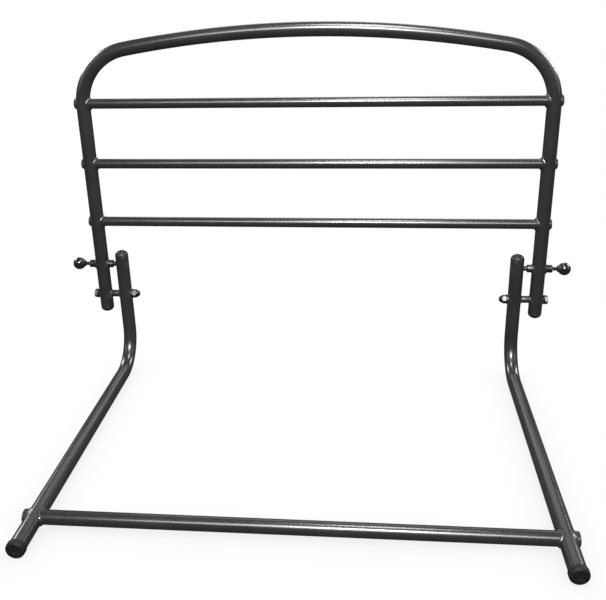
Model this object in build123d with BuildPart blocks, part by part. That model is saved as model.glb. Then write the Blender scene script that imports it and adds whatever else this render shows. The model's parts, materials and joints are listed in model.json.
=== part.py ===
from build123d import *

import os
from math import asin, degrees, sqrt

# Bed assist rail, in millimetres. An arched rail with three grab rods is bolted between two L-bent base
# tubes, whose long legs lie under the mattress. A sprung pin on each side locks the rail upright; with
# both pins pulled, the rail turns on two pivot bolts and drops down beside the bed.
#
# X runs along the rail, the base legs lie towards -Y, +Z is up. The origin is on the floor plane that the
# ferrules rest on, midway between the two sides and straight below the pivot axis.

# Tubes
TUBE_DIAMETER = 22.2
RAIL_WALL = 1.2
BASE_WALL = 1.6
ROD_DIAMETER = 15.9
ROD_WALL = 1.0
CROSS_BAR_DIAMETER = 19.0
CROSS_BAR_WALL = 1.5

# Base frame
UPRIGHT_X = 334.5
BEND_RADIUS = 60.0
LEG_LENGTH = 491.0
CROSS_BAR_Y = -430.5
CROSS_BAR_STAND_OUT = 2.0
FERRULE_WALL = 1.3
FERRULE_LENGTH = 9.0
FERRULE_END = 3.0
FERRULE_ROUNDING = 4.0

# Rail
RAIL_X = 370.0
CORNER_RADIUS = 90.0
CROWN_RADIUS = 1700.0
ROD_STAND_OUT = 1.0

# Heights above the axis of the base legs
CROWN_RISE = 568.5
ROD_RISES = (458.0, 359.5, 259.5)
ROD_NAMES = ("upper_rod", "middle_rod", "lower_rod")
UPRIGHT_RISE = 197.5
LOCK_RISE = 182.3
PIVOT_RISE = 126.6
RAIL_FOOT_RISE = 102.5

# Plastic plugs in open tube ends
UPRIGHT_DOME = 9.5
RAIL_DOME = 9.0
ROD_DOME = 1.5
CROSS_BAR_DOME = 2.5
PLUG_LIP = 1.0
PLUG_STEM = 9.0

# Pivot: M8 bolt, welded sleeves, spacer, washers and a low cap nut
BOLT_DIAMETER = 8.0
BOLT_HEAD_ACROSS_FLATS = 13.0
BOLT_HEAD_HEIGHT = 5.3
SLEEVE_DIAMETER = 12.0
SLEEVE_STAND_OUT = 1.0
WASHER_DIAMETER = 16.0
WASHER_THICKNESS = 1.6
CAP_NUT_HEIGHT = 12.0
CAP_NUT_HEX_HEIGHT = 6.5
CAP_NUT_DOME_DIAMETER = 12.0
CAP_NUT_TOP = 2.5
HEX_EDGE = 0.6
RUNNING_CLEARANCE = 0.05

# Lock plunger
HOUSING_DIAMETER = 13.0
HOUSING_OUTER_X = 390.0
HOUSING_STAND_OUT = 8.0
GUIDE_LENGTH = 13.1
CHAMBER_DIAMETER = 10.4
GLAND_DEPTH = 6.0
GLAND_FLANGE = 1.5
PIN_DIAMETER = 8.0
PIN_REACH = 5.0
PIN_NOSE = 1.0
PIN_COLLAR = 2.5
STEM_DIAMETER = 6.0
STEM_IN_KNOB = 5.5
LOCK_HOLE_CLEARANCE = 0.25
KNOB_X = 411.0
KNOB_DIAMETER = 21.0
KNOB_NECK_DIAMETER = 11.0
KNOB_NECK_X = 400.0
SPRING_WIRE = 0.9
SPRING_DIAMETER = 8.2
SPRING_COILS = 6
SPRING_END_GAP = 0.05

# Worked-out sizes
tube_radius = TUBE_DIAMETER / 2
rod_radius = ROD_DIAMETER / 2
cross_bar_radius = CROSS_BAR_DIAMETER / 2
bolt_radius = BOLT_DIAMETER / 2
sleeve_radius = SLEEVE_DIAMETER / 2
pin_radius = PIN_DIAMETER / 2
stem_radius = STEM_DIAMETER / 2
housing_radius = HOUSING_DIAMETER / 2
chamber_radius = CHAMBER_DIAMETER / 2
knob_radius = KNOB_DIAMETER / 2
knob_neck_radius = KNOB_NECK_DIAMETER / 2
ferrule_radius = tube_radius + FERRULE_WALL

base_z = ferrule_radius
crown_z = base_z + CROWN_RISE
rod_heights = [base_z + rise for rise in ROD_RISES]
upright_top_z = base_z + UPRIGHT_RISE
lock_z = base_z + LOCK_RISE
pivot_z = base_z + PIVOT_RISE
rail_foot_z = base_z + RAIL_FOOT_RISE

rod_end_x = RAIL_X + tube_radius + ROD_STAND_OUT
cross_bar_end_x = UPRIGHT_X + tube_radius + CROSS_BAR_STAND_OUT
sleeve_half_length = tube_radius + SLEEVE_STAND_OUT
spacer_inner_x = UPRIGHT_X + sleeve_half_length
spacer_outer_x = RAIL_X - sleeve_half_length - RUNNING_CLEARANCE
head_washer_x = RAIL_X + sleeve_half_length + RUNNING_CLEARANCE
bolt_head_x = head_washer_x + WASHER_THICKNESS
nut_washer_x = UPRIGHT_X - sleeve_half_length
cap_nut_x = nut_washer_x - WASHER_THICKNESS
bolt_tip_x = cap_nut_x - CAP_NUT_HEIGHT + CAP_NUT_TOP
housing_inner_x = RAIL_X - tube_radius - HOUSING_STAND_OUT
chamber_floor_x = housing_inner_x + GUIDE_LENGTH
gland_inner_x = HOUSING_OUTER_X - GLAND_DEPTH
pin_tip_x = UPRIGHT_X + tube_radius - PIN_REACH
collar_outer_x = chamber_floor_x + PIN_COLLAR
stem_tip_x = KNOB_NECK_X + STEM_IN_KNOB

pivot_axis = Axis((0, 0, pivot_z), (1, 0, 0))
lock_axis = Axis((0, 0, lock_z), (1, 0, 0))
sides = (("left", -1), ("right", 1))


def save(piece, name):
    """Labels a finished piece and writes it to the parts folder."""
    piece.part.label = name
    export_step(piece.part, f"parts/{name}.step")


def outboard(sign, height):
    """The upright plane through an axis at a height: local x runs outboard from the middle, local y up."""
    return Plane(origin=(0, 0, height), x_dir=(sign, 0, 0), z_dir=(0, -sign, 0))


def plug(planes, radius, wall, dome):
    """Domed plugs for open tube ends. Each plane sits on a tube's end and its local y points out of it."""
    with BuildPart() as plugs:
        for plane in planes:
            with BuildSketch(plane):
                with BuildLine():
                    Polyline((0, dome), (0, -PLUG_STEM), (radius - wall, -PLUG_STEM), (radius - wall, 0),
                             (radius, 0), (radius, PLUG_LIP))
                    TangentArc((0, dome), (radius, PLUG_LIP), tangent=(1, 0))
                make_face()
            revolve(axis=Axis(plane.origin, plane.y_dir))
    return plugs


os.makedirs("parts", exist_ok=True)

# --- Rail: arched hoop, with holes for the rods, the pivot sleeves and the plunger housings
corner_x = RAIL_X - CORNER_RADIUS
crown_centre_z = crown_z - CROWN_RADIUS
corner_z = crown_centre_z + sqrt((CROWN_RADIUS - CORNER_RADIUS) ** 2 - corner_x**2)
crown_angle = degrees(asin(corner_x / (CROWN_RADIUS - CORNER_RADIUS)))

with BuildPart() as rail_hoop:
    with BuildLine(Plane.XZ) as hoop_path:
        Line((-RAIL_X, rail_foot_z), (-RAIL_X, corner_z))
        CenterArc((-corner_x, corner_z), CORNER_RADIUS, 180, crown_angle - 90)
        CenterArc((0, crown_centre_z), CROWN_RADIUS, 90 + crown_angle, -2 * crown_angle)
        CenterArc((corner_x, corner_z), CORNER_RADIUS, 90 - crown_angle, crown_angle - 90)
        Line((RAIL_X, corner_z), (RAIL_X, rail_foot_z))
    with BuildSketch(Plane.XY.offset(rail_foot_z)):
        with Locations((-RAIL_X, 0)):
            Circle(tube_radius)
            Circle(tube_radius - RAIL_WALL, mode=Mode.SUBTRACT)
    sweep(path=hoop_path.line)
    with BuildSketch(Plane.YZ):
        with Locations(*[(0, height) for height in rod_heights]):
            Circle(rod_radius)
        with Locations((0, pivot_z)):
            Circle(sleeve_radius)
        with Locations((0, lock_z)):
            Circle(housing_radius)
    extrude(amount=2 * RAIL_X, both=True, mode=Mode.SUBTRACT)
save(rail_hoop, "rail_hoop")

# --- Grab rods, which run right through both legs of the hoop
for name, height in zip(ROD_NAMES, rod_heights):
    with BuildPart() as rod:
        with BuildSketch(Plane.YZ):
            with Locations((0, height)):
                Circle(rod_radius)
                Circle(rod_radius - ROD_WALL, mode=Mode.SUBTRACT)
        extrude(amount=rod_end_x, both=True)
    save(rod, name)

rod_ends = [
    Plane(origin=(sign * rod_end_x, 0, height), x_dir=(0, 0, 1), z_dir=(0, sign, 0))
    for height in rod_heights
    for side, sign in sides
]
save(plug(rod_ends, rod_radius, ROD_WALL, ROD_DOME), "rod_plugs")

# --- Base cross bar, which runs right through both base legs
with BuildPart() as base_cross_bar:
    with BuildSketch(Plane.YZ):
        with Locations((CROSS_BAR_Y, base_z)):
            Circle(cross_bar_radius)
            Circle(cross_bar_radius - CROSS_BAR_WALL, mode=Mode.SUBTRACT)
    extrude(amount=cross_bar_end_x, both=True)
save(base_cross_bar, "base_cross_bar")

cross_bar_ends = [
    Plane(origin=(sign * cross_bar_end_x, CROSS_BAR_Y, base_z), x_dir=(0, 0, 1), z_dir=(0, sign, 0))
    for side, sign in sides
]
save(plug(cross_bar_ends, cross_bar_radius, CROSS_BAR_WALL, CROSS_BAR_DOME), "cross_bar_plugs")

for side, sign in sides:
    pivot_plane = outboard(sign, pivot_z)
    lock_plane = outboard(sign, lock_z)

    # --- Base tube: an upright, a bend and a long leg under the mattress
    with BuildPart() as base_tube:
        with BuildLine(Plane.YZ.offset(sign * UPRIGHT_X)) as base_path:
            Line((0, upright_top_z), (0, base_z + BEND_RADIUS))
            CenterArc((-BEND_RADIUS, base_z + BEND_RADIUS), BEND_RADIUS, 0, -90)
            Line((-BEND_RADIUS, base_z), (-LEG_LENGTH, base_z))
        with BuildSketch(Plane.XY.offset(upright_top_z)):
            with Locations((sign * UPRIGHT_X, 0)):
                Circle(tube_radius)
                Circle(tube_radius - BASE_WALL, mode=Mode.SUBTRACT)
        sweep(path=base_path.line)
        with BuildSketch(Plane.YZ):
            with Locations((0, pivot_z)):
                Circle(sleeve_radius)
            with Locations((CROSS_BAR_Y, base_z)):
                Circle(cross_bar_radius)
        extrude(amount=sign * RAIL_X, mode=Mode.SUBTRACT)
        with BuildSketch(Plane.YZ.offset(sign * UPRIGHT_X)):
            with Locations((0, lock_z)):
                Circle(pin_radius + LOCK_HOLE_CLEARANCE)
        extrude(amount=sign * TUBE_DIAMETER, mode=Mode.SUBTRACT)
    save(base_tube, f"{side}_base_tube")

    upright_end = Plane(origin=(sign * UPRIGHT_X, 0, upright_top_z), x_dir=(1, 0, 0), z_dir=(0, -1, 0))
    save(plug([upright_end], tube_radius, BASE_WALL, UPRIGHT_DOME), f"{side}_upright_cap")

    rail_end = Plane(origin=(sign * RAIL_X, 0, rail_foot_z), x_dir=(1, 0, 0), z_dir=(0, 1, 0))
    save(plug([rail_end], tube_radius, RAIL_WALL, RAIL_DOME), f"{side}_rail_end_cap")

    # --- Ferrule: a shallow rubber cup over the rear end of the base leg
    ferrule_back_y = -LEG_LENGTH - FERRULE_END
    with BuildPart() as base_ferrule:
        with BuildSketch(Plane.XZ.offset(-ferrule_back_y)):
            with Locations((sign * UPRIGHT_X, base_z)):
                Circle(ferrule_radius)
        extrude(amount=-FERRULE_LENGTH)
        fillet(base_ferrule.edges().group_by(Axis.Y)[0], FERRULE_ROUNDING)
        with BuildSketch(Plane.XZ.offset(LEG_LENGTH)):
            with Locations((sign * UPRIGHT_X, base_z)):
                Circle(tube_radius)
        extrude(amount=-FERRULE_LENGTH, mode=Mode.SUBTRACT)
    save(base_ferrule, f"{side}_base_ferrule")

    # --- Pivot sleeves, welded through the upright and through the rail leg
    for name, centre_x in ((f"{side}_base_pivot_sleeve", UPRIGHT_X), (f"{side}_rail_pivot_sleeve", RAIL_X)):
        with BuildPart() as pivot_sleeve:
            with BuildSketch(Plane.YZ.offset(sign * centre_x)):
                with Locations((0, pivot_z)):
                    Circle(sleeve_radius)
                    Circle(bolt_radius + RUNNING_CLEARANCE, mode=Mode.SUBTRACT)
            extrude(amount=sleeve_half_length, both=True)
        save(pivot_sleeve, name)

    # --- Spacer on the bolt between the two tubes
    with BuildPart() as pivot_spacer:
        with BuildSketch(Plane.YZ.offset(sign * spacer_inner_x)):
            with Locations((0, pivot_z)):
                Circle(sleeve_radius)
                Circle(bolt_radius + RUNNING_CLEARANCE, mode=Mode.SUBTRACT)
        extrude(amount=sign * (spacer_outer_x - spacer_inner_x))
    save(pivot_spacer, f"{side}_pivot_spacer")

    # --- Washers under the bolt head and under the cap nut
    with BuildPart() as pivot_washers:
        for washer_x in (head_washer_x, cap_nut_x):
            with BuildSketch(Plane.YZ.offset(sign * washer_x)):
                with Locations((0, pivot_z)):
                    Circle(WASHER_DIAMETER / 2)
                    Circle(bolt_radius + RUNNING_CLEARANCE, mode=Mode.SUBTRACT)
            extrude(amount=sign * WASHER_THICKNESS)
    save(pivot_washers, f"{side}_pivot_washers")

    # --- Pivot bolt: hexagon head outboard, shank through both tubes into the cap nut
    with BuildPart() as pivot_bolt:
        with BuildSketch(Plane.YZ.offset(sign * bolt_head_x)):
            with Locations((0, pivot_z)):
                RegularPolygon(BOLT_HEAD_ACROSS_FLATS / 2, 6, major_radius=False)
        extrude(amount=sign * BOLT_HEAD_HEIGHT)
        head_face = pivot_bolt.faces().sort_by(Axis.X)[-1 if sign > 0 else 0]
        chamfer(head_face.edges(), HEX_EDGE)
        with BuildSketch(Plane.YZ.offset(sign * bolt_head_x)):
            with Locations((0, pivot_z)):
                Circle(bolt_radius)
        extrude(amount=-sign * (bolt_head_x - bolt_tip_x))
    save(pivot_bolt, f"{side}_pivot_bolt")

    # --- Cap nut: a hexagon with a dome that covers the end of the bolt
    dome_start_x = cap_nut_x - CAP_NUT_HEX_HEIGHT + HEX_EDGE
    dome_end_x = cap_nut_x - CAP_NUT_HEIGHT
    dome_radius = CAP_NUT_DOME_DIAMETER / 2
    with BuildPart() as pivot_cap_nut:
        with BuildSketch(Plane.YZ.offset(sign * cap_nut_x)):
            with Locations((0, pivot_z)):
                RegularPolygon(BOLT_HEAD_ACROSS_FLATS / 2, 6, major_radius=False)
        extrude(amount=-sign * CAP_NUT_HEX_HEIGHT)
        with BuildSketch(pivot_plane):
            with BuildLine():
                Polyline((dome_end_x, 0), (dome_start_x, 0), (dome_start_x, dome_radius))
                TangentArc((dome_end_x, 0), (dome_start_x, dome_radius), tangent=(0, 1))
            make_face()
        revolve(axis=pivot_axis)
        with BuildSketch(Plane.YZ.offset(sign * cap_nut_x)):
            with Locations((0, pivot_z)):
                Circle(bolt_radius)
        extrude(amount=-sign * (cap_nut_x - bolt_tip_x), mode=Mode.SUBTRACT)
    save(pivot_cap_nut, f"{side}_pivot_cap_nut")

    # --- Plunger housing: a barrel through the rail leg, with a guide bore and a spring chamber
    with BuildPart() as plunger_housing:
        with BuildSketch(lock_plane):
            with BuildLine():
                Polyline(
                    (housing_inner_x, pin_radius + RUNNING_CLEARANCE),
                    (housing_inner_x, housing_radius),
                    (HOUSING_OUTER_X, housing_radius),
                    (HOUSING_OUTER_X, chamber_radius),
                    (chamber_floor_x, chamber_radius),
                    (chamber_floor_x, pin_radius + RUNNING_CLEARANCE),
                    close=True,
                )
            make_face()
        revolve(axis=lock_axis)
    save(plunger_housing, f"{side}_plunger_housing")

    # --- Gland: screwed into the outer end of the housing, it guides the stem and holds the spring in
    with BuildPart() as plunger_gland:
        with BuildSketch(lock_plane):
            with BuildLine():
                Polyline(
                    (gland_inner_x, stem_radius + RUNNING_CLEARANCE),
                    (gland_inner_x, chamber_radius),
                    (HOUSING_OUTER_X, chamber_radius),
                    (HOUSING_OUTER_X, housing_radius),
                    (HOUSING_OUTER_X + GLAND_FLANGE, housing_radius),
                    (HOUSING_OUTER_X + GLAND_FLANGE, stem_radius + RUNNING_CLEARANCE),
                    close=True,
                )
            make_face()
        revolve(axis=lock_axis)
    save(plunger_gland, f"{side}_plunger_gland")

    # --- Lock pin: nose, collar that the spring pushes on, and stem up to the knob
    collar_radius = chamber_radius - 2 * RUNNING_CLEARANCE
    with BuildPart() as lock_pin:
        with BuildSketch(lock_plane):
            with BuildLine():
                Polyline(
                    (pin_tip_x, 0),
                    (pin_tip_x, pin_radius - PIN_NOSE),
                    (pin_tip_x + PIN_NOSE, pin_radius),
                    (chamber_floor_x, pin_radius),
                    (chamber_floor_x, collar_radius),
                    (collar_outer_x, collar_radius),
                    (collar_outer_x, stem_radius),
                    (stem_tip_x, stem_radius),
                    (stem_tip_x, 0),
                    close=True,
                )
            make_face()
        revolve(axis=lock_axis)
    save(lock_pin, f"{side}_lock_pin")

    # --- Pull knob: a ball with a short neck, screwed on the end of the stem
    neck_meets_ball_x = KNOB_X - sqrt(knob_radius**2 - knob_neck_radius**2)
    with BuildPart() as pull_knob:
        with BuildSketch(lock_plane):
            with BuildLine():
                Polyline(
                    (neck_meets_ball_x, knob_neck_radius),
                    (KNOB_NECK_X, knob_neck_radius),
                    (KNOB_NECK_X, stem_radius),
                    (stem_tip_x, stem_radius),
                    (stem_tip_x, 0),
                    (KNOB_X + knob_radius, 0),
                )
                ThreePointArc(
                    (neck_meets_ball_x, knob_neck_radius),
                    (KNOB_X, knob_radius),
                    (KNOB_X + knob_radius, 0),
                )
            make_face()
        revolve(axis=lock_axis)
    save(pull_knob, f"{side}_pull_knob")

    # --- Compression spring between the collar and the gland
    spring_start_x = collar_outer_x + SPRING_WIRE / 2 + SPRING_END_GAP
    spring_end_x = gland_inner_x - SPRING_WIRE / 2 - SPRING_END_GAP
    spring_length = spring_end_x - spring_start_x
    with BuildPart() as plunger_spring:
        with BuildLine() as spring_path:
            Helix(
                pitch=spring_length / SPRING_COILS,
                height=spring_length,
                radius=SPRING_DIAMETER / 2,
                center=(sign * spring_start_x, 0, lock_z),
                direction=(sign, 0, 0),
            )
        wire_start = Plane(origin=spring_path.line @ 0, z_dir=spring_path.line % 0)
        with BuildSketch(wire_start):
            Circle(SPRING_WIRE / 2)
        sweep(path=spring_path.line, is_frenet=True)
    save(plunger_spring, f"{side}_plunger_spring")
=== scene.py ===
"""Finished meshes, materials and a plain studio for the bed assist rail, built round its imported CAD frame.

Lengths are in metres in the frame of the CAD: X runs along the rail, the base legs lie towards -Y, +Z is up.
Places are read from the boxes of the CAD nodes. The sizes that a box can't give are named below.
"""
import json
from math import cos, hypot, pi, radians, sin, sqrt, tan

import bmesh
import bpy
from mathutils import Matrix, Vector


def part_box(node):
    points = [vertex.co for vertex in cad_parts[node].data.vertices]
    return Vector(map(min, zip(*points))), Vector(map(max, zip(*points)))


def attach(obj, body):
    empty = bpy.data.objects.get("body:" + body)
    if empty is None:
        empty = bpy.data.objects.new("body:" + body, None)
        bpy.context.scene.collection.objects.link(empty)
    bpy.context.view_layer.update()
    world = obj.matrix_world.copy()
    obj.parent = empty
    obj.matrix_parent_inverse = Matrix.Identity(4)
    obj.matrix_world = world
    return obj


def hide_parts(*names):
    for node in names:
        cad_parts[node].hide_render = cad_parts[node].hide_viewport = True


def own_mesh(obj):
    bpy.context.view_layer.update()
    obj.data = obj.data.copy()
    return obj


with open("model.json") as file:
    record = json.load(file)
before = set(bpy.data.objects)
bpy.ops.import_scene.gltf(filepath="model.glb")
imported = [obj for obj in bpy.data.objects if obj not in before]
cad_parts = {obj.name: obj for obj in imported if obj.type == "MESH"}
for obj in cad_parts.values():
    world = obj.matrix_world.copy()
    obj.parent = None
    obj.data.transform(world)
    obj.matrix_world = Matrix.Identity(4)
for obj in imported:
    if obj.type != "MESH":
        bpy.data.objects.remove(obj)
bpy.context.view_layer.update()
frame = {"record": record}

MM = 0.001

# Sections of the tubes
TUBE_RADIUS = 11.1 * MM
RAIL_WALL = 1.2 * MM
BASE_WALL = 1.6 * MM
ROD_RADIUS = 7.95 * MM
ROD_WALL = 1.0 * MM
CROSS_BAR_RADIUS = 9.5 * MM
CROSS_BAR_WALL = 1.5 * MM
CORNER_RADIUS = 90 * MM
CROWN_RADIUS = 1700 * MM
BEND_RADIUS = 60 * MM
PLUG_STEM = 9 * MM
FERRULE_ROUNDING = 4.0 * MM

# Turned parts on the pivot and lock axes
BOLT_RADIUS = 4.0 * MM
HEX_ACROSS_FLATS = 13.0 * MM
THREAD_PITCH = 1.25 * MM
SLEEVE_RADIUS = 6.0 * MM
WASHER_RADIUS = 8.0 * MM
WASHER_THICKNESS = 1.6 * MM
HEX_FACE_RADIUS = 0.48 * HEX_ACROSS_FLATS
HOUSING_RADIUS = 6.5 * MM
CHAMBER_RADIUS = 5.2 * MM
GUIDE_LENGTH = 13.1 * MM
COLLAR_RADIUS = 5.1 * MM
COLLAR_LENGTH = 2.5 * MM
GLAND_FLANGE = 1.5 * MM
PIN_RADIUS = 4.0 * MM
STEM_RADIUS = 3.0 * MM
KNOB_RADIUS = 10.5 * MM
KNOB_NECK_RADIUS = 5.5 * MM
WIRE_RADIUS = 0.45 * MM
SPRING_COILS = 6
LOCK_HOLE_RADIUS = 4.25 * MM
KNURL_TEETH = 36

# Gaps between neighbouring pieces, and round what fills a drilled hole
SLACK = 0.05 * MM
DRILL_CLEARANCE = 0.02 * MM

# How finely round things are made
TUBE_STEPS = 72
TURNED_STEPS = 72
HEX_STEPS = 96

# The studio's backdrop is white to the camera and dim as a light, which leaves dark edges on the tubes
BACKDROP = (1.0, 1.0, 1.0)
SURROUND = 0.06
FLOOR_AS_REFLECTED = (0.05, 0.05, 0.05)
CONTACT_SHADE = 0.86
CONTACT_SHADE_REACH = 45 * MM
PAPER_EDGE = 0.5
SURROUND_EDGE = 1.1

# The viewpoint, a little to the right, above and behind the base's rear end. Angles are in radians, the lens
# is in millimetres, and the rise is a share of the picture's width.
CAMERA_PLACE = Vector((92.4, -1199.9, 669.2)) * MM
CAMERA_YAW = -0.0937
CAMERA_PITCH = 0.3608
CAMERA_ROLL = 0.0226
CAMERA_LENS = 45.36
CAMERA_RISE = -0.0743

X = Vector((1, 0, 0))
Y = Vector((0, 1, 0))
Z = Vector((0, 0, 1))
SIDES = (("left", -1), ("right", 1))
RODS = ("upper_rod", "middle_rod", "lower_rod")

BODY_OF = {node: body for body, nodes in frame["record"]["behaviour"]["bodies"].items() for node in nodes}
SLOT_OF = {part["node"]: part["material_slot"] for part in frame["record"]["subparts"]}


def middle(node):
    """The centre of a CAD node's box."""
    low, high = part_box(node)
    return (low + high) / 2


def reach(name):
    """How far a right-hand node reaches along X, as (inboard end, outboard end)."""
    low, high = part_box("right_" + name)
    return low.x, high.x


# Places, from the CAD
rail_x = middle("right_rail_pivot_sleeve").x
upright_x = middle("right_base_pivot_sleeve").x
pivot_z = middle("right_pivot_bolt").z
lock_z = middle("right_lock_pin").z
rod_heights = [middle(rod).z for rod in RODS]
rail_foot_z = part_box("rail_hoop")[0].z
crown_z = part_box("rail_hoop")[1].z - TUBE_RADIUS
upright_top_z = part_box("right_base_tube")[1].z
leg_back_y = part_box("right_base_tube")[0].y
cross_bar_y = middle("base_cross_bar").y
leg_z = middle("base_cross_bar").z


# ---------------------------------------------------------------- materials

class Shader:
    """The nodes of one material or world."""

    def __init__(self, owner):
        owner.use_nodes = True
        self.tree = owner.node_tree
        self.tree.nodes.clear()

    def add(self, kind, inputs=None, **settings):
        """Adds a node. Inputs are values or sockets, by name or number."""
        node = self.tree.nodes.new("ShaderNode" + kind)
        for name, value in settings.items():
            setattr(node, name, value)
        for name, value in (inputs or {}).items():
            if isinstance(value, bpy.types.NodeSocket):
                self.tree.links.new(value, node.inputs[name])
            else:
                node.inputs[name].default_value = value
        return node

    def place(self):
        """The point being shaded, in the frame of the CAD at rest."""
        return self.add("TexCoord").outputs["Object"]

    def noise(self, size, detail=2.0, roughness=0.5, at=None):
        """Noise from 0 to 1 whose lumps are about size across."""
        inputs = {"Vector": at or self.place(), "Scale": 1 / size, "Detail": detail, "Roughness": roughness}
        return self.add("TexNoise", inputs).outputs["Fac"]

    def remap(self, value, low, high, new_low, new_high):
        """The value stretched from low..high to new_low..new_high and held there."""
        inputs = {"Value": value, "From Min": low, "From Max": high, "To Min": new_low, "To Max": new_high}
        return self.add("MapRange", inputs).outputs["Result"]

    def math(self, operation, a, b=0.0):
        return self.add("Math", {0: a, 1: b}, operation=operation).outputs[0]

    def colours(self, share, first, second):
        """A colour between first and second."""
        inputs = {0: share}
        for number, colour in ((6, first), (7, second)):
            inputs[number] = colour if isinstance(colour, bpy.types.NodeSocket) else (*colour, 1)
        return self.add("Mix", inputs, data_type="RGBA").outputs[2]

    def bump(self, height, depth, strength=1.0, under=None):
        inputs = {"Height": height, "Distance": depth, "Strength": strength}
        if under:
            inputs["Normal"] = under
        return self.add("Bump", inputs).outputs["Normal"]

    def edges(self, low=0.51, high=0.56):
        """About 1 on convex edges and 0 elsewhere."""
        return self.remap(self.add("NewGeometry").outputs["Pointiness"], low, high, 0, 1)

    def surface(self, **inputs):
        """Ends a material with a Principled surface."""
        named = {name.replace("_", " "): value for name, value in inputs.items()}
        principled = self.add("BsdfPrincipled", named)
        self.add("OutputMaterial", {"Surface": principled.outputs[0]})


def round_axis(shader, height, inner, outer):
    """1 near the line along X at a height, within inner of it, falling to 0 at outer."""
    parts = shader.add("SeparateXYZ", {0: shader.place()})
    up = shader.math("SUBTRACT", parts.outputs["Z"], height)
    flat = shader.add("CombineXYZ", {"Y": parts.outputs["Y"], "Z": up}).outputs[0]
    distance = shader.add("VectorMath", {0: flat}, operation="LENGTH").outputs["Value"]
    return shader.remap(distance, inner, outer, 1, 0)


def powder_coat(shader):
    """Charcoal powder coat: orange peel, patchy gloss, fine flecks, scuffs round the pivots and lock pins."""
    patches = shader.noise(60 * MM, detail=5, roughness=0.6)
    flecks = shader.noise(0.35 * MM, detail=1)
    patchy = shader.remap(patches, 0.3, 0.7, 0, 1)
    colour = shader.colours(patchy, (0.012, 0.0123, 0.013), (0.018, 0.0184, 0.0192))
    sparkle = shader.remap(flecks, 0.62, 0.72, 0, 0.5)
    colour = shader.colours(sparkle, colour, (0.040, 0.041, 0.043))
    rubbed = shader.math("MAXIMUM", round_axis(shader, lock_z, 5.5 * MM, 10 * MM),
                         round_axis(shader, pivot_z, 7.5 * MM, 11 * MM))
    broken = shader.remap(shader.noise(2.2 * MM, detail=6, roughness=0.7), 0.5, 0.66, 0, 1)
    scuffs = shader.math("MULTIPLY", rubbed, broken)
    spots = shader.remap(shader.noise(5 * MM), 0.55, 0.7, 0, 0.6)
    chips = shader.math("MULTIPLY", shader.edges(0.53, 0.60), spots)
    worn = shader.math("MAXIMUM", shader.math("MULTIPLY", scuffs, 0.55), chips)
    colour = shader.colours(worn, colour, (0.16, 0.16, 0.165))
    gloss = shader.remap(shader.noise(18 * MM, detail=4), 0.3, 0.7, 0.25, 0.32)
    roughness = shader.math("ADD", gloss, shader.math("MULTIPLY", worn, 0.12))
    waves = shader.bump(shader.noise(9 * MM, detail=1), 0.05 * MM, 0.5)
    peel = shader.bump(shader.noise(1.3 * MM, detail=2, roughness=0.4), 0.02 * MM, 0.6, under=waves)
    shader.surface(Base_Color=colour, Roughness=roughness, Normal=peel, IOR=1.5, Coat_Weight=0.35,
                   Coat_Roughness=0.16)


def dark_steel(shader):
    """Black zinc on turned steel: fine rings from the lathe, cloudy plating, edges rubbed bright."""
    clouds = shader.noise(4 * MM, detail=6, roughness=0.65)
    cloudy = shader.remap(clouds, 0.3, 0.7, 0, 1)
    colour = shader.colours(cloudy, (0.022, 0.022, 0.024), (0.042, 0.041, 0.040))
    colour = shader.colours(shader.math("MULTIPLY", shader.edges(), 0.6), colour, (0.20, 0.20, 0.21))
    rings = shader.add("TexWave", {"Vector": shader.place(), "Scale": 1 / (1.4 * MM), "Distortion": 0.6,
                                   "Detail": 2, "Detail Scale": 3}, bands_direction="X").outputs["Fac"]
    cut = shader.bump(rings, 0.006 * MM, 0.5)
    pits = shader.bump(shader.noise(0.5 * MM, detail=3), 0.01 * MM, 0.4, under=cut)
    roughness = shader.remap(shader.noise(3 * MM, detail=5), 0.3, 0.7, 0.26, 0.44)
    shader.surface(Base_Color=colour, Metallic=0.9, Roughness=roughness, Normal=pits)


def spring_steel(shader):
    """Oiled spring wire: drawn grey with darker oil patches."""
    patches = shader.remap(shader.noise(2.5 * MM, detail=5), 0.35, 0.65, 0, 1)
    colour = shader.colours(patches, (0.20, 0.195, 0.18), (0.42, 0.42, 0.43))
    drawn = shader.bump(shader.noise(0.25 * MM, detail=2), 0.01 * MM, 0.5)
    roughness = shader.remap(patches, 0, 1, 0.22, 0.36)
    shader.surface(Base_Color=colour, Metallic=1.0, Roughness=roughness, Normal=drawn)


def black_plastic(shader):
    """Moulded polyethylene: satin skin with a fine spark texture, a little lighter in its flow patches and
    greyer on its convex edges.
    """
    flow = shader.remap(shader.noise(8 * MM, detail=4, roughness=0.6), 0.3, 0.7, 0, 1)
    colour = shader.colours(flow, (0.004, 0.004, 0.0045), (0.009, 0.009, 0.0095))
    colour = shader.colours(shader.math("MULTIPLY", shader.edges(), 0.35), colour, (0.06, 0.06, 0.06))
    spark = shader.bump(shader.noise(0.28 * MM, detail=3, roughness=0.6), 0.015 * MM, 0.6)
    shader.surface(Base_Color=colour, Roughness=shader.remap(flow, 0, 1, 0.40, 0.54), Normal=spark,
                   Specular_IOR_Level=0.35)


def black_rubber(shader):
    """Ferrule rubber: dull, grainy, with a grey bloom and scuffed rims."""
    bloom = shader.remap(shader.noise(6 * MM, detail=6, roughness=0.7), 0.4, 0.75, 0, 1)
    colour = shader.colours(bloom, (0.0035, 0.0035, 0.0038), (0.009, 0.009, 0.0095))
    scuffed = shader.math("MULTIPLY", shader.edges(0.505, 0.54), shader.noise(1.5 * MM, detail=4))
    colour = shader.colours(shader.math("MULTIPLY", scuffed, 0.6), colour, (0.035, 0.034, 0.033))
    grain = shader.bump(shader.noise(0.6 * MM, detail=5, roughness=0.7), 0.04 * MM, 0.6)
    shader.surface(Base_Color=colour, Roughness=shader.remap(bloom, 0, 1, 0.55, 0.75), Normal=grain,
                   Specular_IOR_Level=0.22)


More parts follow.
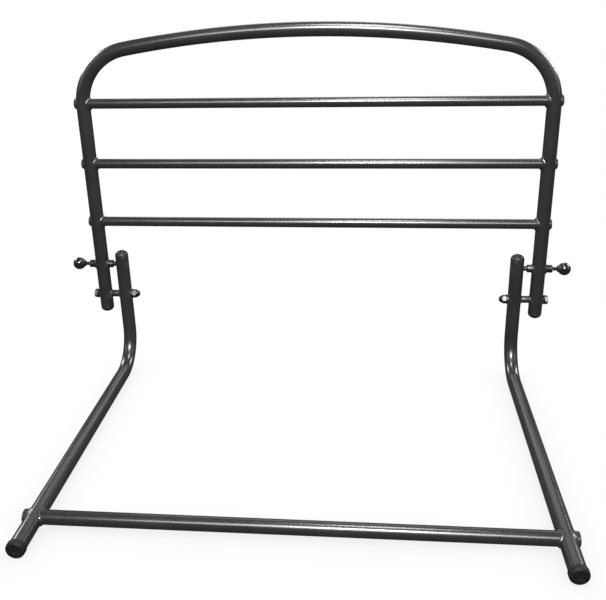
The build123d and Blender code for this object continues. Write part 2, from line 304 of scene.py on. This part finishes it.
def knob_plastic(shader):
    """Gloss phenolic: deep black under a clear skin, with faint handling smears and hairline scratches."""
    smears = shader.remap(shader.noise(7 * MM, detail=5, roughness=0.65), 0.42, 0.62, 0, 1)
    stretched = shader.add("Mapping", {"Vector": shader.place(), "Scale": (0.12, 1, 1)}).outputs[0]
    hairs = shader.noise(0.5 * MM, detail=3, roughness=0.8, at=stretched)
    colour = shader.colours(smears, (0.006, 0.006, 0.007), (0.012, 0.012, 0.012))
    marks = shader.bump(hairs, 0.004 * MM, 0.4)
    roughness = shader.remap(smears, 0, 1, 0.12, 0.24)
    shader.surface(Base_Color=colour, Roughness=roughness, Normal=marks, Coat_Weight=0.5, Coat_Roughness=0.08)


LOOKS = {}
for look in (powder_coat, dark_steel, spring_steel, black_plastic, black_rubber, knob_plastic):
    material = bpy.data.materials.new(look.__name__)
    look(Shader(material))
    LOOKS[look.__name__] = material


# ---------------------------------------------------------------- meshes

def skin(bm, rows, closed):
    """Faces between neighbouring rings of points. A ring of one point is a tip. A closed skin joins its last
    ring to its first."""
    rings = [[bm.verts.new(point) for point in row] for row in rows]
    pairs = list(zip(rings, rings[1:]))
    if closed:
        pairs.append((rings[-1], rings[0]))
    for first, second in pairs:
        steps = max(len(first), len(second))
        for here in range(steps):
            after = (here + 1) % steps
            if len(first) == 1:
                bm.faces.new((first[0], second[here], second[after]))
            elif len(second) == 1:
                bm.faces.new((first[here], second[0], first[after]))
            else:
                bm.faces.new((first[here], second[here], second[after], first[after]))


def eased(profile, rounding, closed=False, steps=3):
    """A profile with its corners rounded. The ends of an open one stay as they are."""
    count = len(profile)
    soft = []
    for number, (along, out) in enumerate(profile):
        if not closed and number in (0, count - 1):
            soft.append((along, out))
            continue
        sides = []
        for other in (profile[number - 1], profile[(number + 1) % count]):
            length = hypot(other[0] - along, other[1] - out)
            share = min(rounding, 0.45 * length) / length
            sides.append((along + (other[0] - along) * share, out + (other[1] - out) * share))
        for step in range(steps + 1):
            t = step / steps
            weights = ((1 - t) ** 2, 2 * t * (1 - t), t**2)
            points = (sides[0], (along, out), sides[1])
            soft.append(tuple(sum(w * point[i] for w, point in zip(weights, points)) for i in (0, 1)))
    return soft


def turned(bm, profile, origin, axis, closed=False, steps=TURNED_STEPS):
    """Turns a profile of (distance along the axis, radius) round the axis. Either may be a function of the
    angle. An open profile starts and ends on the axis, and a closed one makes a ring."""
    side = Y if abs(axis.dot(Y)) < 0.5 else X
    up = axis.cross(side)
    rows = []
    for along, out in profile:
        row = []
        for step in range(steps):
            angle = 2 * pi * step / steps
            far = along(angle) if callable(along) else along
            wide = out(angle) if callable(out) else out
            row.append(origin + axis * far + (side * cos(angle) + up * sin(angle)) * wide)
            if wide == 0:
                break
        rows.append(row)
    skin(bm, rows, closed)


def finished(bm, node, name=None, like=None, crease=38):
    """Makes a piece of the mesh. It stands for a CAD node, or rides along with the node named by like."""
    bmesh.ops.recalc_face_normals(bm, faces=bm.faces)
    name = name or node + "_finished"
    mesh = bpy.data.meshes.new(name)
    bm.to_mesh(mesh)
    bm.free()
    mesh.polygons.foreach_set("use_smooth", [True] * len(mesh.polygons))
    mesh.set_sharp_from_angle(angle=radians(crease))
    piece = bpy.data.objects.new(name, mesh)
    bpy.context.scene.collection.objects.link(piece)
    mesh.materials.append(LOOKS[SLOT_OF[like or node]])
    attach(piece, BODY_OF[like or node])
    if node:
        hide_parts(node)
    return piece


def drilled(bm, holes):
    """The mesh with round holes cut through it. A hole is (start, end, radius)."""
    cutter_mesh = bmesh.new()
    for start, end, radius in holes:
        run = end - start
        ends = [(0, 0), (0, radius), (run.length, radius), (run.length, 0)]
        turned(cutter_mesh, ends, start, run.normalized())
    objects = []
    for number, source in enumerate((bm, cutter_mesh)):
        bmesh.ops.recalc_face_normals(source, faces=source.faces)
        mesh = bpy.data.meshes.new(f"drilling_{number}")
        source.to_mesh(mesh)
        source.free()
        item = bpy.data.objects.new(mesh.name, mesh)
        bpy.context.scene.collection.objects.link(item)
        objects.append(item)
    work, cutter = objects
    cut = work.modifiers.new("cut", "BOOLEAN")
    cut.object = cutter
    cut.solver = "EXACT"
    result = bmesh.new()
    result.from_object(work, bpy.context.evaluated_depsgraph_get())
    for item in objects:
        bpy.data.meshes.remove(item.data)
    return result


def arc(centre, start, end, radius, across, steps):
    """Points and directions on an arc in the plane square to across. Angles are from the plane's first axis:
    X in the plane of the rail, Y in the plane of a base tube."""
    first = X if across == Y else Y
    stations = []
    for step in range(steps + 1):
        angle = start + (end - start) * step / steps
        outward = first * cos(angle) + Z * sin(angle)
        turn = -1 if end < start else 1
        stations.append((centre + outward * radius, (Z * cos(angle) - first * sin(angle)) * turn))
    return stations


def straight(start, end, spacing=12 * MM):
    """Points and directions along a straight stretch."""
    run = end - start
    steps = max(1, round(run.length / spacing))
    return [(start + run * step / steps, run.normalized()) for step in range(steps + 1)]


def tube(bm, stations, across, outer, wall, flattening=0.0):
    """A hollow tube along stations of (point, direction), with both end faces and softened rims. In bends it
    is flattened a little, as bent tube is."""
    rim = 0.35 * MM
    start, end = stations[0], stations[-1]
    shifts = [(start, 0, -rim), (start, rim, 0)] + [(s, 0, 0) for s in stations[1:-1]]
    shifts += [(end, -rim, 0), (end, 0, -rim)]
    rows = []
    for inside in (False, True):
        layer = []
        for (point, direction), advance, narrowing in shifts:
            outward = across.cross(direction)
            bent = min(1.0, hypot(direction.x * direction.z, direction.y * direction.z) * 2)
            radius = outer + (-wall - narrowing * 0.5 if inside else narrowing)
            in_plane = radius - flattening * bent
            centre = point + direction * advance
            layer.append([centre + outward * in_plane * cos(2 * pi * k / TUBE_STEPS)
                          + across * radius * sin(2 * pi * k / TUBE_STEPS) for k in range(TUBE_STEPS)])
        rows += reversed(layer) if inside else layer
    skin(bm, rows, closed=True)


def weld_bead(bm, centre, radius, leg_axis, facing, along_run, along_leg, seed):
    """A rippled fillet where a run of some radius comes out of a leg along X. Centre is where their axes
    cross, and facing is the way it comes out: 1 or -1."""
    across = Y if leg_axis == Z else Z
    leg_limit = 0.995 * TUBE_RADIUS
    ripples = round(2 * pi * radius / (1.9 * MM))
    steps = ripples * 6
    sink = 0.3 * MM

    def on_leg(out, angle):
        sideways = max(-leg_limit, min(leg_limit, out * cos(angle)))
        depth = sqrt(TUBE_RADIUS**2 - sideways**2)
        return X * facing * depth + across * sideways + leg_axis * out * sin(angle)

    rows = []
    for step in range(steps):
        angle = 2 * pi * step / steps
        size = 1 + 0.10 * sin(2 * angle + seed) + 0.06 * sin(5 * angle + 2.3 * seed)
        size += 0.03 * sin(11 * angle + seed)
        room = 1 - 0.45 * cos(angle) ** 2
        corner = on_leg(radius, angle)
        run_toe = corner + X * facing * along_run * size
        leg_toe = on_leg(radius + along_leg * size * room, angle)
        chord_middle = (run_toe + leg_toe) / 2
        outward = (chord_middle - corner).normalized()
        swell = chord_middle + outward * 0.45 * along_run
        face = []
        for t in (0.0, 0.17, 0.34, 0.5, 0.66, 0.83, 1.0):
            point = run_toe * (1 - t) ** 2 + swell * 2 * t * (1 - t) + leg_toe * t**2
            ripple = abs(sin((angle * ripples - 1.1 * (2 * t - 1) ** 2) / 2)) ** 0.8
            face.append(point + outward * 0.16 * MM * (ripple - 0.5) * sin(pi * t))
        inward = -(across * cos(angle) + leg_axis * sin(angle)) * sink
        rows.append([centre + p for p in (run_toe + inward, *face, leg_toe - X * facing * sink,
                                          corner + inward - X * facing * sink)])
    skin(bm, rows, closed=True)


# ---------------------------------------------------------------- rail

def rail_hoop():
    corner_x = rail_x - CORNER_RADIUS
    crown_centre_z = crown_z - CROWN_RADIUS
    inner = CROWN_RADIUS - CORNER_RADIUS
    corner_z = crown_centre_z + sqrt(inner**2 - corner_x**2)
    half = radians(90) - Vector((corner_x, corner_z - crown_centre_z)).angle(Vector((1, 0)))
    path = straight(Vector((-rail_x, 0, rail_foot_z)), Vector((-rail_x, 0, corner_z)))[:-1]
    path += arc(Vector((-corner_x, 0, corner_z)), pi, pi / 2 + half, CORNER_RADIUS, Y, 32)[:-1]
    path += arc(Vector((0, 0, crown_centre_z)), pi / 2 + half, pi / 2 - half, CROWN_RADIUS, Y, 64)[:-1]
    path += arc(Vector((corner_x, 0, corner_z)), pi / 2 - half, 0, CORNER_RADIUS, Y, 32)[:-1]
    path += straight(Vector((rail_x, 0, corner_z)), Vector((rail_x, 0, rail_foot_z)))
    bm = bmesh.new()
    tube(bm, path, Y, TUBE_RADIUS, RAIL_WALL, flattening=0.25 * MM)
    crossings = [(height, ROD_RADIUS) for height in rod_heights]
    crossings += [(pivot_z, SLEEVE_RADIUS), (lock_z, HOUSING_RADIUS)]
    holes = []
    for height, radius in crossings:
        for _, sign in SIDES:
            inboard = Vector((sign * (rail_x - 2 * TUBE_RADIUS), 0, height))
            outboard = Vector((sign * (rail_x + 2 * TUBE_RADIUS), 0, height))
            holes.append((inboard, outboard, radius + DRILL_CLEARANCE))
    finished(drilled(bm, holes), "rail_hoop")


def rods():
    for rod, height in zip(RODS, rod_heights):
        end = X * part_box(rod)[1].x
        bm = bmesh.new()
        tube(bm, straight(Z * height - end, Z * height + end), Y, ROD_RADIUS, ROD_WALL)
        finished(bm, rod)


def plug(bm, origin, axis, dome, radius, wall):
    """A domed plug: a crown with a moulding dimple, a lip on the tube's end and a barbed stem inside it."""
    bore = radius - wall - SLACK
    core = bore - 0.5 * MM
    lead_in = 0.8 * MM
    barbs = 3
    pitch = (PLUG_STEM - 2 * lead_in) / barbs
    profile = [(-PLUG_STEM, 0), (-PLUG_STEM, core - 0.4 * MM), (-PLUG_STEM + lead_in, core)]
    for barb in range(barbs):
        foot = -PLUG_STEM + lead_in + barb * pitch
        profile += [(foot + 0.15 * pitch, bore), (foot + 0.4 * pitch, bore), (foot + 0.9 * pitch, core)]
    lip = min(1.0 * MM, 0.4 * dome)
    profile += [(SLACK, core), (SLACK, radius - 0.15 * MM), (lip * 0.4, radius), (lip, radius)]
    crown_steps = 12
    for step in range(1, crown_steps):
        angle = pi / 2 * step / crown_steps
        profile.append((lip + (dome - lip) * sin(angle), radius * cos(angle)))
    dimple = dome - 0.25 * MM
    profile += [(dome, 0.11 * radius), (dimple, 0.07 * radius), (dimple, 0)]
    turned(bm, profile, origin, axis)


def plug_set(node, ends, radius, wall):
    """The plugs of one node. An end is (point on the axis at a tube's end, direction out, dome's height)."""
    bm = bmesh.new()
    for origin, axis, dome in ends:
        plug(bm, origin, axis, dome, radius, wall)
    finished(bm, node)


def plugs():
    rod_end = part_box("upper_rod")[1].x
    rod_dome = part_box("rod_plugs")[1].x - rod_end
    ends = [(X * sign * rod_end + Z * height, X * sign, rod_dome)
            for height in rod_heights for _, sign in SIDES]
    plug_set("rod_plugs", ends, ROD_RADIUS, ROD_WALL)

    bar_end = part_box("base_cross_bar")[1].x
    bar_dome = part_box("cross_bar_plugs")[1].x - bar_end
    ends = [(Vector((sign * bar_end, cross_bar_y, leg_z)), X * sign, bar_dome) for _, sign in SIDES]
    plug_set("cross_bar_plugs", ends, CROSS_BAR_RADIUS, CROSS_BAR_WALL)

    for side, sign in SIDES:
        top = Vector((sign * upright_x, 0, upright_top_z))
        cap_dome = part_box(f"{side}_upright_cap")[1].z - upright_top_z
        plug_set(f"{side}_upright_cap", [(top, Z, cap_dome)], TUBE_RADIUS, BASE_WALL)

        foot = Vector((sign * rail_x, 0, rail_foot_z))
        foot_dome = rail_foot_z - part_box(f"{side}_rail_end_cap")[0].z
        plug_set(f"{side}_rail_end_cap", [(foot, -Z, foot_dome)], TUBE_RADIUS, RAIL_WALL)


# ---------------------------------------------------------------- base

def base_tubes():
    for side, sign in SIDES:
        at = X * sign * upright_x
        bend_z = leg_z + BEND_RADIUS
        path = straight(at + Z * upright_top_z, at + Z * bend_z)[:-1]
        path += arc(at - Y * BEND_RADIUS + Z * bend_z, 0, -pi / 2, BEND_RADIUS, X, 28)[:-1]
        path += straight(at - Y * BEND_RADIUS + Z * leg_z, at + Y * leg_back_y + Z * leg_z)
        bm = bmesh.new()
        tube(bm, path, X, TUBE_RADIUS, BASE_WALL, flattening=0.35 * MM)
        inner = at - X * sign * 2 * TUBE_RADIUS
        outer = at + X * sign * 2 * TUBE_RADIUS
        bar = Y * cross_bar_y + Z * leg_z
        holes = [
            (inner + Z * pivot_z, outer + Z * pivot_z, SLEEVE_RADIUS + DRILL_CLEARANCE),
            (inner + bar, outer + bar, CROSS_BAR_RADIUS + DRILL_CLEARANCE),
            (at + Z * lock_z, outer + Z * lock_z, LOCK_HOLE_RADIUS),
        ]
        finished(drilled(bm, holes), f"{side}_base_tube")


def cross_bar():
    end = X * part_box("base_cross_bar")[1].x
    at = Y * cross_bar_y + Z * leg_z
    bm = bmesh.new()
    tube(bm, straight(at - end, at + end), Y, CROSS_BAR_RADIUS, CROSS_BAR_WALL)
    finished(bm, "base_cross_bar")


def ferrules():
    """Shallow rubber cups with a rolled lip, a groove behind it and a dimple in the rounded end."""
    for side, sign in SIDES:
        node = f"{side}_base_ferrule"
        low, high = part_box(node)
        radius = (high.x - low.x) / 2
        thickness = leg_back_y - low.y
        depth = high.y - leg_back_y
        bore = TUBE_RADIUS + SLACK
        lip = -depth + 1.6 * MM
        groove = radius - 0.4 * MM
        outline = [(0, 0), (0, bore), (-depth, bore), (-depth, radius), (lip, radius),
                   (lip + 0.4 * MM, groove), (lip + 1.1 * MM, groove), (lip + 1.5 * MM, radius)]
        for step in range(9):
            angle = pi / 2 * step / 8
            outline.append((thickness - FERRULE_ROUNDING + FERRULE_ROUNDING * sin(angle),
                            radius - FERRULE_ROUNDING + FERRULE_ROUNDING * cos(angle)))
        dimple = thickness - 0.6 * MM
        outline += [(thickness, 3.2 * MM), (dimple, 2.6 * MM), (dimple, 0)]
        bm = bmesh.new()
        turned(bm, eased(outline, 0.35 * MM), Vector((sign * upright_x, leg_back_y, leg_z)), -Y)
        finished(bm, node)


# ---------------------------------------------------------------- pivots

def hexagon(across_flats):
    """The radius of a hexagon at an angle."""
    return lambda angle: across_flats / 2 / cos(angle % (pi / 3) - pi / 6)


def chamfered(height, across_flats, keep):
    """How far out a hexagon's side reaches under a 30 degree chamfer that leaves a circle of radius keep."""
    radius = hexagon(across_flats)
    return lambda angle: height - (radius(angle) - keep) * tan(radians(30))


def ring(node, origin, axis, ends, bore, radius, rounding):
    start, end = ends
    profile = [(start, bore), (start, radius), (end, radius), (end, bore)]
    bm = bmesh.new()
    turned(bm, eased(profile, rounding, closed=True), origin, axis, closed=True)
    finished(bm, node)


def washers(side, sign, origin):
    """Stamped washers: one rim rolled over by the punch, the other square."""
    inner, outer = reach("pivot_washers")
    bore = BOLT_RADIUS + 3 * SLACK
    bm = bmesh.new()
    for start in (inner, outer - WASHER_THICKNESS):
        end = start + WASHER_THICKNESS
        profile = [(start, bore), (start, WASHER_RADIUS - 0.5 * MM),
                   (start + 0.2 * MM, WASHER_RADIUS - 0.12 * MM), (start + 0.5 * MM, WASHER_RADIUS),
                   (end, WASHER_RADIUS), (end, bore)]
        turned(bm, eased(profile, 0.12 * MM, closed=True, steps=2), origin, X * sign, closed=True)
    finished(bm, f"{side}_pivot_washers")


def bolt(side, sign, origin):
    """A hexagon bolt: dished and chamfered head, plain shank, rolled thread towards its tip."""
    tip, top = reach("pivot_bolt")
    seat = reach("pivot_washers")[1]
    height = top - seat
    shank = BOLT_RADIUS - 0.02 * MM
    depth = 0.6 * THREAD_PITCH
    thread_end = upright_x - TUBE_RADIUS - seat
    thread_start = tip - seat
    rows_per_turn = 8
    profile = [(thread_start, 0), (thread_start, shank - depth)]
    turns = int((thread_end - thread_start) / THREAD_PITCH) - 1
    for row in range(turns * rows_per_turn + 1):
        along = thread_start + 0.4 * MM + row * THREAD_PITCH / rows_per_turn
        fade = min(1.0, row / rows_per_turn, (turns * rows_per_turn - row) / rows_per_turn)

        def crest(angle, along=along, fade=fade):
            phase = (along / THREAD_PITCH - angle / (2 * pi)) % 1
            tooth = min(1.0, 1.35 * (1 - abs(2 * phase - 1)))
            return shank - depth * (1 - tooth) * fade - (1 - fade) * 0.1 * MM

        profile.append((along, crest))
    plain = profile[-1][0] + 0.5 * MM
    profile += [(plain, shank), (-0.25 * MM, shank), (-0.05 * MM, shank + 0.2 * MM)]
    face = HEX_FACE_RADIUS
    flats = hexagon(HEX_ACROSS_FLATS)
    profile += [(0, shank + 0.35 * MM), (0, face), (0.3 * MM, face), (0.35 * MM, flats)]
    edge = chamfered(height, HEX_ACROSS_FLATS, face)
    profile += [(lambda angle: edge(angle) - 0.12 * MM, flats),
                (lambda angle: edge(angle) + 0.03 * MM, lambda angle: flats(angle) - 0.12 * MM),
                (height, face - 0.1 * MM), (height, 0.62 * face), (height - 0.35 * MM, 0.5 * face),
                (height - 0.4 * MM, 0)]
    bm = bmesh.new()
    turned(bm, profile, origin + X * sign * seat, X * sign, steps=HEX_STEPS)
    finished(bm, f"{side}_pivot_bolt", crease=28)


def cap_nut(side, sign, origin):
    """A low cap nut: chamfered hexagon with a dome pressed on it, and a blind bore for the bolt."""
    top, seat = reach("pivot_cap_nut")
    height = seat - top
    tip = seat - reach("pivot_bolt")[0]
    hex_height = 0.54 * height
    face = HEX_FACE_RADIUS
    flats = hexagon(HEX_ACROSS_FLATS)
    edge = chamfered(hex_height, HEX_ACROSS_FLATS, face)
    bore = BOLT_RADIUS
    bore_end = tip + 0.2 * MM
    dome_start = hex_height + 0.35 * MM
    dome_radius = 0.45 * HEX_ACROSS_FLATS
    profile = [(bore_end, 0), (bore_end, bore), (0.4 * MM, bore), (0, bore + 0.4 * MM), (0, face),
               (lambda angle: hex_height - edge(angle), flats), (edge, flats), (hex_height, face),
               (hex_height + 0.1 * MM, dome_radius + 0.25 * MM), (dome_start, dome_radius)]
    dome_steps = 13
    for step in range(1, dome_steps):
        angle = pi / 2 * step / dome_steps
        profile.append((dome_start + (height - dome_start) * sin(angle), dome_radius * cos(angle)))
    profile.append((height, 0))
    bm = bmesh.new()
    turned(bm, profile, origin + X * sign * seat, -X * sign, steps=HEX_STEPS)
    finished(bm, f"{side}_pivot_cap_nut", crease=28)


def pivots():
    origin = Z * pivot_z
    bore = BOLT_RADIUS + SLACK
    for side, sign in SIDES:
        for name, radius, rounding in (("base_pivot_sleeve", SLEEVE_RADIUS, 0.25 * MM),
                                       ("rail_pivot_sleeve", SLEEVE_RADIUS, 0.25 * MM),
                                       ("pivot_spacer", SLEEVE_RADIUS - SLACK, 0.5 * MM)):
            ring(f"{side}_{name}", origin, X * sign, reach(name), bore, radius, rounding)
        washers(side, sign, origin)
        bolt(side, sign, origin)
        cap_nut(side, sign, origin)


# ---------------------------------------------------------------- locks

def housing(side, sign, origin):
    """A barrel with a guide bore, a spring chamber and a turned groove near its outer end."""
    start, end = reach("plunger_housing")
    bore = PIN_RADIUS + SLACK
    chamber = CHAMBER_RADIUS + SLACK
    chamber_floor = start + GUIDE_LENGTH
    groove = end - 2.2 * MM
    groove_radius = HOUSING_RADIUS - 0.4 * MM
    profile = [(start, bore), (start, HOUSING_RADIUS), (groove - 0.9 * MM, HOUSING_RADIUS),
               (groove - 0.6 * MM, groove_radius), (groove, groove_radius),
               (groove + 0.3 * MM, HOUSING_RADIUS), (end, HOUSING_RADIUS), (end, chamber),
               (chamber_floor, chamber), (chamber_floor, bore)]
    bm = bmesh.new()
    turned(bm, eased(profile, 0.3 * MM, closed=True), origin, X * sign, closed=True)
    finished(bm, f"{side}_plunger_housing")


def gland(side, sign, origin):
    """A screwed-in gland with a knurled flange."""
    start, end = reach("plunger_gland")
    bore = STEM_RADIUS + SLACK
    seat = end - GLAND_FLANGE

    def knurl(angle):
        return HOUSING_RADIUS - SLACK - 0.3 * MM * abs(2 * (angle * KNURL_TEETH / (2 * pi) % 1) - 1)

    profile = [(start, bore), (start, CHAMBER_RADIUS - 0.3 * MM), (start + 0.4 * MM, CHAMBER_RADIUS),
               (seat, CHAMBER_RADIUS), (seat + SLACK, HOUSING_RADIUS - 0.6 * MM), (seat + 0.3 * MM, knurl),
               (end - 0.3 * MM, knurl), (end, HOUSING_RADIUS - 0.7 * MM), (end, bore + 0.5 * MM),
               (end - 0.5 * MM, bore)]
    bm = bmesh.new()
    turned(bm, profile, origin, X * sign, closed=True, steps=4 * KNURL_TEETH)
    finished(bm, f"{side}_plunger_gland", crease=30)


def lock_pin(side, sign, origin):
    """Rounded nose, guided body, collar for the spring and stem up into the knob."""
    tip, end = reach("lock_pin")
    collar = reach("plunger_housing")[0] + GUIDE_LENGTH + SLACK
    collar_end = collar - SLACK + COLLAR_LENGTH
    body = PIN_RADIUS - SLACK
    stem = STEM_RADIUS - SLACK
    profile = [(tip, 0), (tip, PIN_RADIUS - 1.3 * MM), (tip + 0.3 * MM, PIN_RADIUS - 0.6 * MM),
               (tip + 1.2 * MM, body), (collar, body), (collar, COLLAR_RADIUS), (collar_end, COLLAR_RADIUS),
               (collar_end, stem), (end, stem), (end, 0)]
    bm = bmesh.new()
    turned(bm, eased(profile, 0.35 * MM), origin, X * sign)
    finished(bm, f"{side}_lock_pin")


def knob(side, sign, origin):
    """A ball on a short neck, with a countersunk hole for the stem and a faint parting line round it."""
    neck, top = reach("pull_knob")
    stem_end = reach("lock_pin")[1]
    centre = top - KNOB_RADIUS
    meet = sqrt(KNOB_RADIUS**2 - KNOB_NECK_RADIUS**2)
    profile = [(stem_end, 0), (stem_end, STEM_RADIUS), (neck + 0.5 * MM, STEM_RADIUS),
               (neck + 0.5 * MM, STEM_RADIUS + 0.9 * MM), (neck, STEM_RADIUS + 1.2 * MM),
               (neck, KNOB_NECK_RADIUS - 0.35 * MM), (neck + 0.35 * MM, KNOB_NECK_RADIUS),
               (centre - meet - 0.25 * MM, KNOB_NECK_RADIUS)]
    steps = 40
    start_angle = Vector((-meet, KNOB_NECK_RADIUS)).angle(X.to_2d())
    for step in range(steps):
        angle = start_angle * (1 - step / steps)
        radius = KNOB_RADIUS + (0.06 * MM if abs(cos(angle)) < 0.03 else 0)
        profile.append((centre + radius * cos(angle), radius * sin(angle)))
    profile.append((top, 0))
    bm = bmesh.new()
    turned(bm, profile, origin, X * sign, steps=96)
    finished(bm, f"{side}_pull_knob")


def spring(side, sign, origin):
    """A compression spring whose coils close up towards its ends, on a mesh of its own. The real one shortens
    as the knob is pulled; this mesh keeps one length.
    """
    start, end = reach("plunger_spring")
    low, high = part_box(f"{side}_plunger_spring")
    coil = (high.z - low.z) / 2 - WIRE_RADIUS
    wire_start, wire_end = start + WIRE_RADIUS, end - WIRE_RADIUS
    steps = SPRING_COILS * 32
    rows = []
    for step in range(steps + 1):
        share = step / steps
        even = 0.5 - 0.5 * cos(pi * share)
        along = wire_start + (wire_end - wire_start) * (0.55 * share + 0.45 * even)
        angle = 2 * pi * SPRING_COILS * share
        out = Y * cos(angle) + Z * sin(angle)
        centre = origin + X * sign * along + out * coil
        row = [centre + (out * cos(turn) + X * sign * sin(turn)) * WIRE_RADIUS
               for turn in [2 * pi * k / 12 for k in range(12)]]
        if step == 0:
            rows.append([centre])
        rows.append(row)
        if step == steps:
            rows.append([centre])
    bm = bmesh.new()
    skin(bm, rows, closed=False)
    piece = finished(bm, f"{side}_plunger_spring")
    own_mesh(piece)


def locks():
    origin = Z * lock_z
    for side, sign in SIDES:
        for make in (housing, gland, lock_pin, knob, spring):
            make(side, sign, origin)


# ---------------------------------------------------------------- welds

def rail_welds():
    bm = bmesh.new()
    seed = 0.0
    for _, sign in SIDES:
        for height in rod_heights:
            for facing, along_run, along_leg in ((-sign, 2.6 * MM, 2.6 * MM), (sign, 0.7 * MM, 1.6 * MM)):
                seed += 1.7
                centre = X * sign * rail_x + Z * height
                weld_bead(bm, centre, ROD_RADIUS, Z, facing, along_run, along_leg, seed)
        for facing in (-sign, sign):
            pivot = X * sign * rail_x + Z * pivot_z
            weld_bead(bm, pivot, SLEEVE_RADIUS, Z, facing, 0.7 * MM, 2.2 * MM, seed + 0.6)
        lock_centre = X * sign * rail_x + Z * lock_z
        weld_bead(bm, lock_centre, HOUSING_RADIUS, Z, -sign, 1.1 * MM, 2.4 * MM, seed + 0.9)
        weld_bead(bm, lock_centre, HOUSING_RADIUS, Z, sign, 2.2 * MM, 2.6 * MM, seed + 1.3)
    finished(bm, None, name="rail_weld_beads", like="rail_hoop", crease=50)


def base_welds():
    bm = bmesh.new()
    seed = 4.0
    for _, sign in SIDES:
        for facing in (-sign, sign):
            seed += 1.1
            pivot = X * sign * upright_x + Z * pivot_z
            weld_bead(bm, pivot, SLEEVE_RADIUS, Z, facing, 0.7 * MM, 2.2 * MM, seed)
            bar = Vector((sign * upright_x, cross_bar_y, leg_z))
            along_run = 2.8 * MM if facing == -sign else 1.4 * MM
            weld_bead(bm, bar, CROSS_BAR_RADIUS, Y, facing, along_run, 2.6 * MM, seed + 0.5)
    finished(bm, None, name="base_weld_beads", like="right_base_tube", crease=50)


# ---------------------------------------------------------------- studio

def floor():
    """A pale floor without a horizon, softly shaded where the object comes near it.

    The camera and the lights see through it, so that a rail folded down past it still shows. Reflections see
    it as dark paper that fades into the surround.
    """
    bm = bmesh.new()
    bmesh.ops.create_circle(bm, cap_ends=True, radius=8, segments=96)
    mesh = bpy.data.meshes.new("studio_floor")
    bm.to_mesh(mesh)
    bm.free()
    ground = bpy.data.objects.new("studio_floor", mesh)
    bpy.context.scene.collection.objects.link(ground)
    material = bpy.data.materials.new("pale_floor")
    shader = Shader(material)
    openness = shader.add("AmbientOcclusion", {"Distance": CONTACT_SHADE_REACH}, samples=16).outputs["AO"]
    shade = shader.remap(openness, 0.3, 1, CONTACT_SHADE, 1)
    clear = shader.add("BsdfTransparent", {"Color": shade}).outputs[0]
    paper = shader.add("BsdfDiffuse", {"Color": (*FLOOR_AS_REFLECTED, 1)}).outputs[0]
    surround = shader.add("Emission", {"Color": (*BACKDROP, 1), "Strength": SURROUND}).outputs[0]
    distance = shader.add("VectorMath", {0: shader.place()}, operation="LENGTH").outputs["Value"]
    fade = shader.remap(distance, PAPER_EDGE, SURROUND_EDGE, 0, 1)
    reflected = shader.add("MixShader", {0: fade, 1: paper, 2: surround}).outputs[0]
    rays = shader.add("LightPath").outputs
    through = shader.math("MAXIMUM", rays["Is Camera Ray"], rays["Is Shadow Ray"])
    mixed = shader.add("MixShader", {0: through, 1: reflected, 2: clear}).outputs[0]
    shader.add("OutputMaterial", {"Surface": mixed})
    mesh.materials.append(material)


def softbox(name, place, size, power, target=Vector((0, -0.1, 0.3))):
    """A rectangular light of size (width, height) that faces the target."""
    light = bpy.data.lights.new(name, "AREA")
    light.shape = "RECTANGLE"
    light.size, light.size_y = size
    light.energy = power
    item = bpy.data.objects.new(name, light)
    bpy.context.scene.collection.objects.link(item)
    item.location = place
    item.rotation_euler = (target - Vector(place)).to_track_quat("-Z", "Y").to_euler()
    item.visible_camera = False


def lighting():
    """Soft boxes, and a backdrop that is white to the camera but dimmer as a light."""
    softbox("front_key", (0.10, -1.7, 1.7), size=(0.4, 0.4), power=62, target=Vector((0.10, 0, 0.35)))
    softbox("front_wide", (0.0, -2.2, 1.8), size=(2.0, 0.5), power=45)
    softbox("top_key", (0.13, -0.25, 1.3), size=(0.35, 0.3), power=8)
    softbox("back_wide", (0.0, 2.3, 1.9), size=(2.5, 1.4), power=19)
    softbox("left_fill", (-2.2, -0.8, 1.2), size=(0.8, 1.2), power=6)
    softbox("right_fill", (2.2, -0.6, 1.1), size=(0.8, 1.2), power=6)
    softbox("back_left", (-2.4, 1.3, 1.5), size=(0.8, 1.0), power=42)
    softbox("back_right", (2.4, 1.3, 1.5), size=(0.8, 1.0), power=42)
    world = bpy.data.worlds.new("studio")
    bpy.context.scene.world = world
    shader = Shader(world)
    seen = shader.add("LightPath").outputs["Is Camera Ray"]
    strength = shader.remap(seen, 0, 1, SURROUND, 1.0)
    background = shader.add("Background", {"Color": (*BACKDROP, 1), "Strength": strength}).outputs[0]
    shader.add("OutputWorld", {"Surface": background})


def camera():
    ahead = Vector((sin(CAMERA_YAW), cos(CAMERA_YAW), 0))
    forward = ahead * cos(CAMERA_PITCH) - Z * sin(CAMERA_PITCH)
    level = Vector((cos(CAMERA_YAW), -sin(CAMERA_YAW), 0))
    down = forward.cross(level)
    right = level * cos(CAMERA_ROLL) + down * sin(CAMERA_ROLL)
    up = level * sin(CAMERA_ROLL) - down * cos(CAMERA_ROLL)
    data = bpy.data.cameras.new("viewpoint")
    data.lens = CAMERA_LENS
    data.shift_y = CAMERA_RISE
    item = bpy.data.objects.new("viewpoint", data)
    bpy.context.scene.collection.objects.link(item)
    turn = Matrix((right, up, -forward)).transposed().to_4x4()
    item.matrix_world = Matrix.Translation(CAMERA_PLACE) @ turn
    bpy.context.scene.camera = item


for build in (rail_hoop, rods, plugs, base_tubes, cross_bar, ferrules, pivots, locks, rail_welds, base_welds,
              floor, lighting, camera):
    build()
bpy.context.scene.view_settings.view_transform = "Standard"
